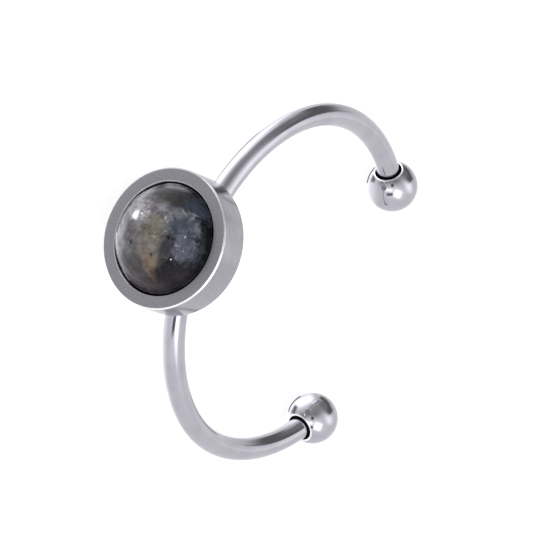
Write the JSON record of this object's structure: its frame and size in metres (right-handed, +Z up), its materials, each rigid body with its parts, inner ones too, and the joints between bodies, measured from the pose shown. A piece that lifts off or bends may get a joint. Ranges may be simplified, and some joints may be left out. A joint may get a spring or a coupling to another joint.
{
  "type": "larvikite ring",
  "caption": "Open finger ring of round polished steel wire with a round domed stone in a soldered cup and a ball on each open end, lying on its side",
  "frame": {"origin": "on the floor, in the middle of the ring's box as it lies on its side", "axes": "+Z up; -Y is the way the cup and its stone face, tilted up by 7.5 degrees because the cup's edge carries that side; +X to the right arm, seen from the cup"},
  "size_m": [0.0212, 0.0244, 0.0081],
  "materials": {
    "polished_steel": "polished",
    "larvikite": "polished"
  },
  "bodies": {
    "root": {"hoop_and_cup": "polished_steel", "stone": "larvikite", "ball_left": "polished_steel", "ball_right": "polished_steel"}
  },
  "joints": []
}
